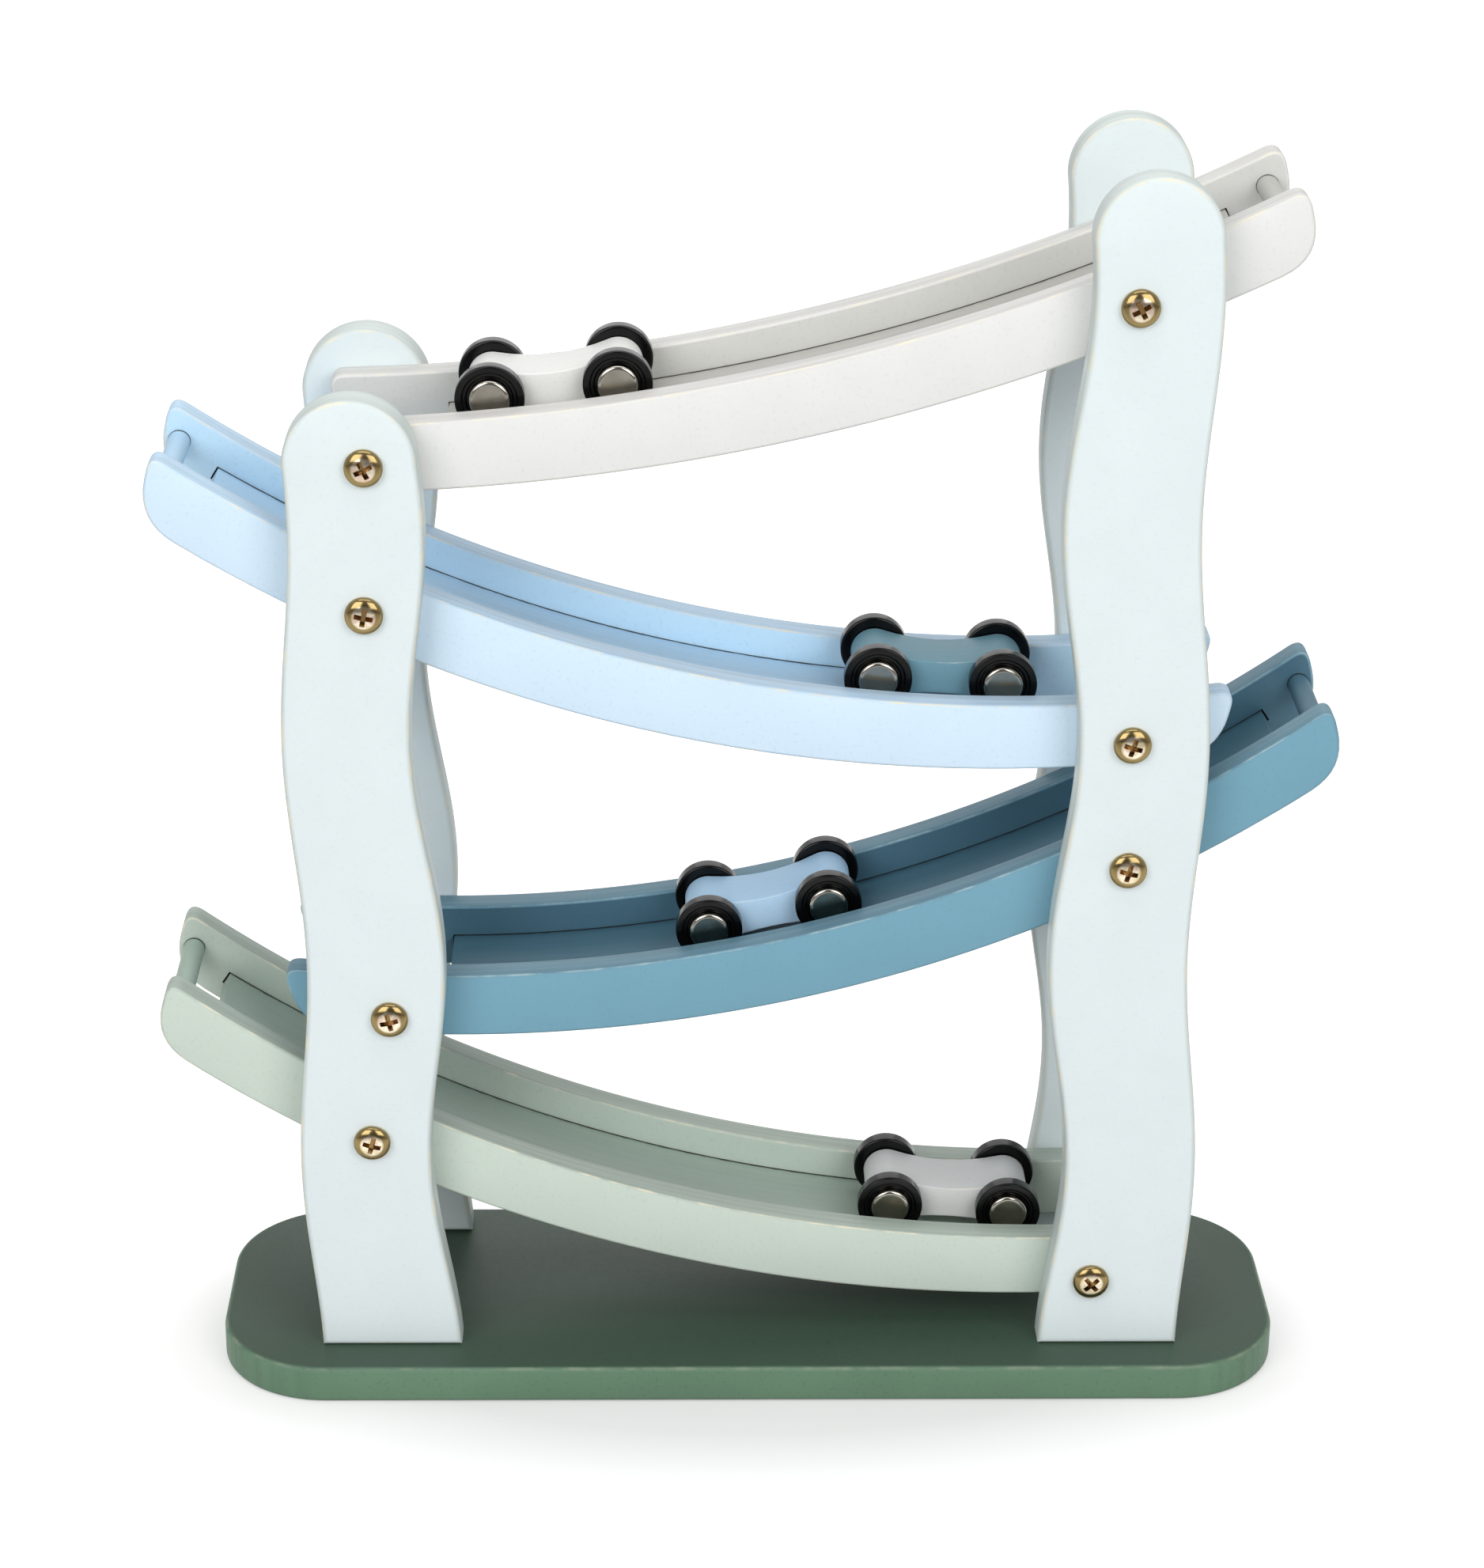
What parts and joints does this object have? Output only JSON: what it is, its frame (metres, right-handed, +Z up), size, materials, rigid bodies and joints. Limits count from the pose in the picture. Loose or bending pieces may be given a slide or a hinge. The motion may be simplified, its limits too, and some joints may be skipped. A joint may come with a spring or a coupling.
{
  "type": "wooden racing track",
  "caption": "Wooden racing track: curved channel ramps zig-zag down between wavy posts on a rounded base, and a small wheeled car rolls along each ramp.",
  "frame": {"origin": "centre of the base's underside", "axes": "+Z up, +X to the right along the base, -Y to the front, which has the wider margin before the posts"},
  "size_m": [0.2564, 0.074, 0.2782],
  "materials": {
    "base_paint": "satin dark green paint",
    "post_paint": "satin very pale mint paint",
    "ramp_1_paint": "satin white paint",
    "ramp_2_paint": "satin light blue paint",
    "ramp_3_paint": "satin teal blue paint",
    "ramp_4_paint": "satin sage paint",
    "car_1_paint": "satin white paint",
    "car_2_paint": "satin grey teal paint",
    "car_3_paint": "satin light blue paint",
    "car_4_paint": "satin light grey paint",
    "wheel_black": "black moulded",
    "steel": "polished steel",
    "zinc": "yellow zinc plated"
  },
  "bodies": {
    "stand": {"base": "base_paint", "post_front_left": "post_paint", "post_front_right": "post_paint", "post_back_left": "post_paint", "post_back_right": "post_paint", "screw_left_1": "zinc", "screw_left_2": "zinc", "screw_left_3": "zinc", "screw_left_4": "zinc", "screw_right_1": "zinc", "screw_right_2": "zinc", "screw_right_3": "zinc", "screw_right_4": "zinc", "ramp_1_rail_front": "ramp_1_paint", "ramp_1_rail_back": "ramp_1_paint", "ramp_1_floor": "ramp_1_paint", "ramp_1_dowel": "ramp_1_paint", "ramp_2_rail_front": "ramp_2_paint", "ramp_2_rail_back": "ramp_2_paint", "ramp_2_floor": "ramp_2_paint", "ramp_2_dowel": "ramp_2_paint", "ramp_3_rail_front": "ramp_3_paint", "ramp_3_rail_back": "ramp_3_paint", "ramp_3_floor": "ramp_3_paint", "ramp_3_dowel": "ramp_3_paint", "ramp_4_rail_front": "ramp_4_paint", "ramp_4_rail_back": "ramp_4_paint", "ramp_4_floor": "ramp_4_paint", "ramp_4_dowel": "ramp_4_paint"},
    "car_1": {"car_1_body": "car_1_paint", "car_1_axle_left": "steel", "car_1_axle_right": "steel"},
    "car_2": {"car_2_body": "car_2_paint", "car_2_axle_left": "steel", "car_2_axle_right": "steel"},
    "car_3": {"car_3_body": "car_3_paint", "car_3_axle_left": "steel", "car_3_axle_right": "steel"},
    "car_4": {"car_4_body": "car_4_paint", "car_4_axle_left": "steel", "car_4_axle_right": "steel"},
    "car_1_wheel_front_left": {"car_1_wheel_front_left": "wheel_black"},
    "car_1_wheel_back_left": {"car_1_wheel_back_left": "wheel_black"},
    "car_1_wheel_front_right": {"car_1_wheel_front_right": "wheel_black"},
    "car_1_wheel_back_right": {"car_1_wheel_back_right": "wheel_black"},
    "car_2_wheel_front_left": {"car_2_wheel_front_left": "wheel_black"},
    "car_2_wheel_back_left": {"car_2_wheel_back_left": "wheel_black"},
    "car_2_wheel_front_right": {"car_2_wheel_front_right": "wheel_black"},
    "car_2_wheel_back_right": {"car_2_wheel_back_right": "wheel_black"},
    "car_3_wheel_front_left": {"car_3_wheel_front_left": "wheel_black"},
    "car_3_wheel_back_left": {"car_3_wheel_back_left": "wheel_black"},
    "car_3_wheel_front_right": {"car_3_wheel_front_right": "wheel_black"},
    "car_3_wheel_back_right": {"car_3_wheel_back_right": "wheel_black"},
    "car_4_wheel_front_left": {"car_4_wheel_front_left": "wheel_black"},
    "car_4_wheel_back_left": {"car_4_wheel_back_left": "wheel_black"},
    "car_4_wheel_front_right": {"car_4_wheel_front_right": "wheel_black"},
    "car_4_wheel_back_right": {"car_4_wheel_back_right": "wheel_black"}
  },
  "joints": [
    {"name": "car_1_roll", "type": "hinge", "parent": "stand", "child": "car_1", "pos_m": [-0.1008, 0.0036, 0.6878], "axis": [0, -1, 0], "range_deg": [-1.15, 16.15]},
    {"name": "car_2_roll", "type": "hinge", "parent": "stand", "child": "car_2", "pos_m": [0.0547, 0.0036, 0.4819], "axis": [0, -1, 0], "range_deg": [-26.25, 1.13]},
    {"name": "car_3_roll", "type": "hinge", "parent": "stand", "child": "car_3", "pos_m": [-0.0686, 0.0036, 0.418], "axis": [0, -1, 0], "range_deg": [-10.24, 18.22]},
    {"name": "car_4_roll", "type": "hinge", "parent": "stand", "child": "car_4", "pos_m": [0.0645, 0.0036, 0.3523], "axis": [0, -1, 0], "range_deg": [-28.03, 0.42]},
    {"name": "car_1_wheel_front_left_turn", "type": "hinge", "parent": "car_1", "child": "car_1_wheel_front_left", "pos_m": [-0.05628, 0.0036, 0.22544], "axis": [0, 1, 0], "continuous": true},
    {"name": "car_1_wheel_back_left_turn", "type": "hinge", "parent": "car_1", "child": "car_1_wheel_back_left", "pos_m": [-0.05628, 0.0036, 0.22544], "axis": [0, 1, 0], "continuous": true},
    {"name": "car_1_wheel_front_right_turn", "type": "hinge", "parent": "car_1", "child": "car_1_wheel_front_right", "pos_m": [-0.02939, 0.0036, 0.22882], "axis": [0, 1, 0], "continuous": true},
    {"name": "car_1_wheel_back_right_turn", "type": "hinge", "parent": "car_1", "child": "car_1_wheel_back_right", "pos_m": [-0.02939, 0.0036, 0.22882], "axis": [0, 1, 0], "continuous": true},
    {"name": "car_2_wheel_front_left_turn", "type": "hinge", "parent": "car_2", "child": "car_2_wheel_front_left", "pos_m": [0.0266, 0.0036, 0.16263], "axis": [0, 1, 0], "continuous": true},
    {"name": "car_2_wheel_back_left_turn", "type": "hinge", "parent": "car_2", "child": "car_2_wheel_back_left", "pos_m": [0.0266, 0.0036, 0.16263], "axis": [0, 1, 0], "continuous": true},
    {"name": "car_2_wheel_front_right_turn", "type": "hinge", "parent": "car_2", "child": "car_2_wheel_front_right", "pos_m": [0.05368, 0.0036, 0.1614], "axis": [0, 1, 0], "continuous": true},
    {"name": "car_2_wheel_back_right_turn", "type": "hinge", "parent": "car_2", "child": "car_2_wheel_back_right", "pos_m": [0.05368, 0.0036, 0.1614], "axis": [0, 1, 0], "continuous": true},
    {"name": "car_3_wheel_front_left_turn", "type": "hinge", "parent": "car_3", "child": "car_3_wheel_front_left", "pos_m": [-0.00961, 0.0036, 0.10298], "axis": [0, 1, 0], "continuous": true},
    {"name": "car_3_wheel_back_left_turn", "type": "hinge", "parent": "car_3", "child": "car_3_wheel_back_left", "pos_m": [-0.00961, 0.0036, 0.10298], "axis": [0, 1, 0], "continuous": true},
    {"name": "car_3_wheel_front_right_turn", "type": "hinge", "parent": "car_3", "child": "car_3_wheel_front_right", "pos_m": [0.0168, 0.0036, 0.10909], "axis": [0, 1, 0], "continuous": true},
    {"name": "car_3_wheel_back_right_turn", "type": "hinge", "parent": "car_3", "child": "car_3_wheel_back_right", "pos_m": [0.0168, 0.0036, 0.10909], "axis": [0, 1, 0], "continuous": true},
    {"name": "car_4_wheel_front_left_turn", "type": "hinge", "parent": "car_4", "child": "car_4_wheel_front_left", "pos_m": [0.03213, 0.0036, 0.03344], "axis": [0, 1, 0], "continuous": true},
    {"name": "car_4_wheel_back_left_turn", "type": "hinge", "parent": "car_4", "child": "car_4_wheel_back_left", "pos_m": [0.03213, 0.0036, 0.03344], "axis": [0, 1, 0], "continuous": true},
    {"name": "car_4_wheel_front_right_turn", "type": "hinge", "parent": "car_4", "child": "car_4_wheel_front_right", "pos_m": [0.05918, 0.0036, 0.03184], "axis": [0, 1, 0], "continuous": true},
    {"name": "car_4_wheel_back_right_turn", "type": "hinge", "parent": "car_4", "child": "car_4_wheel_back_right", "pos_m": [0.05918, 0.0036, 0.03184], "axis": [0, 1, 0], "continuous": true}
  ],
  "couplings": [
    {"joint": "car_1_wheel_front_left_turn", "follows": "car_1_roll", "ratio": 63.811},
    {"joint": "car_1_wheel_back_left_turn", "follows": "car_1_roll", "ratio": 63.811},
    {"joint": "car_1_wheel_front_right_turn", "follows": "car_1_roll", "ratio": 63.811},
    {"joint": "car_1_wheel_back_right_turn", "follows": "car_1_roll", "ratio": 63.811},
    {"joint": "car_2_wheel_front_left_turn", "follows": "car_2_roll", "ratio": 44.351},
    {"joint": "car_2_wheel_back_left_turn", "follows": "car_2_roll", "ratio": 44.351},
    {"joint": "car_2_wheel_front_right_turn", "follows": "car_2_roll", "ratio": 44.351},
    {"joint": "car_2_wheel_back_right_turn", "follows": "car_2_roll", "ratio": 44.351},
    {"joint": "car_3_wheel_front_left_turn", "follows": "car_3_roll", "ratio": 44.351},
    {"joint": "car_3_wheel_back_left_turn", "follows": "car_3_roll", "ratio": 44.351},
    {"joint": "car_3_wheel_front_right_turn", "follows": "car_3_roll", "ratio": 44.351},
    {"joint": "car_3_wheel_back_right_turn", "follows": "car_3_roll", "ratio": 44.351},
    {"joint": "car_4_wheel_front_left_turn", "follows": "car_4_roll", "ratio": 44.351},
    {"joint": "car_4_wheel_back_left_turn", "follows": "car_4_roll", "ratio": 44.351},
    {"joint": "car_4_wheel_front_right_turn", "follows": "car_4_roll", "ratio": 44.351},
    {"joint": "car_4_wheel_back_right_turn", "follows": "car_4_roll", "ratio": 44.351}
  ]
}
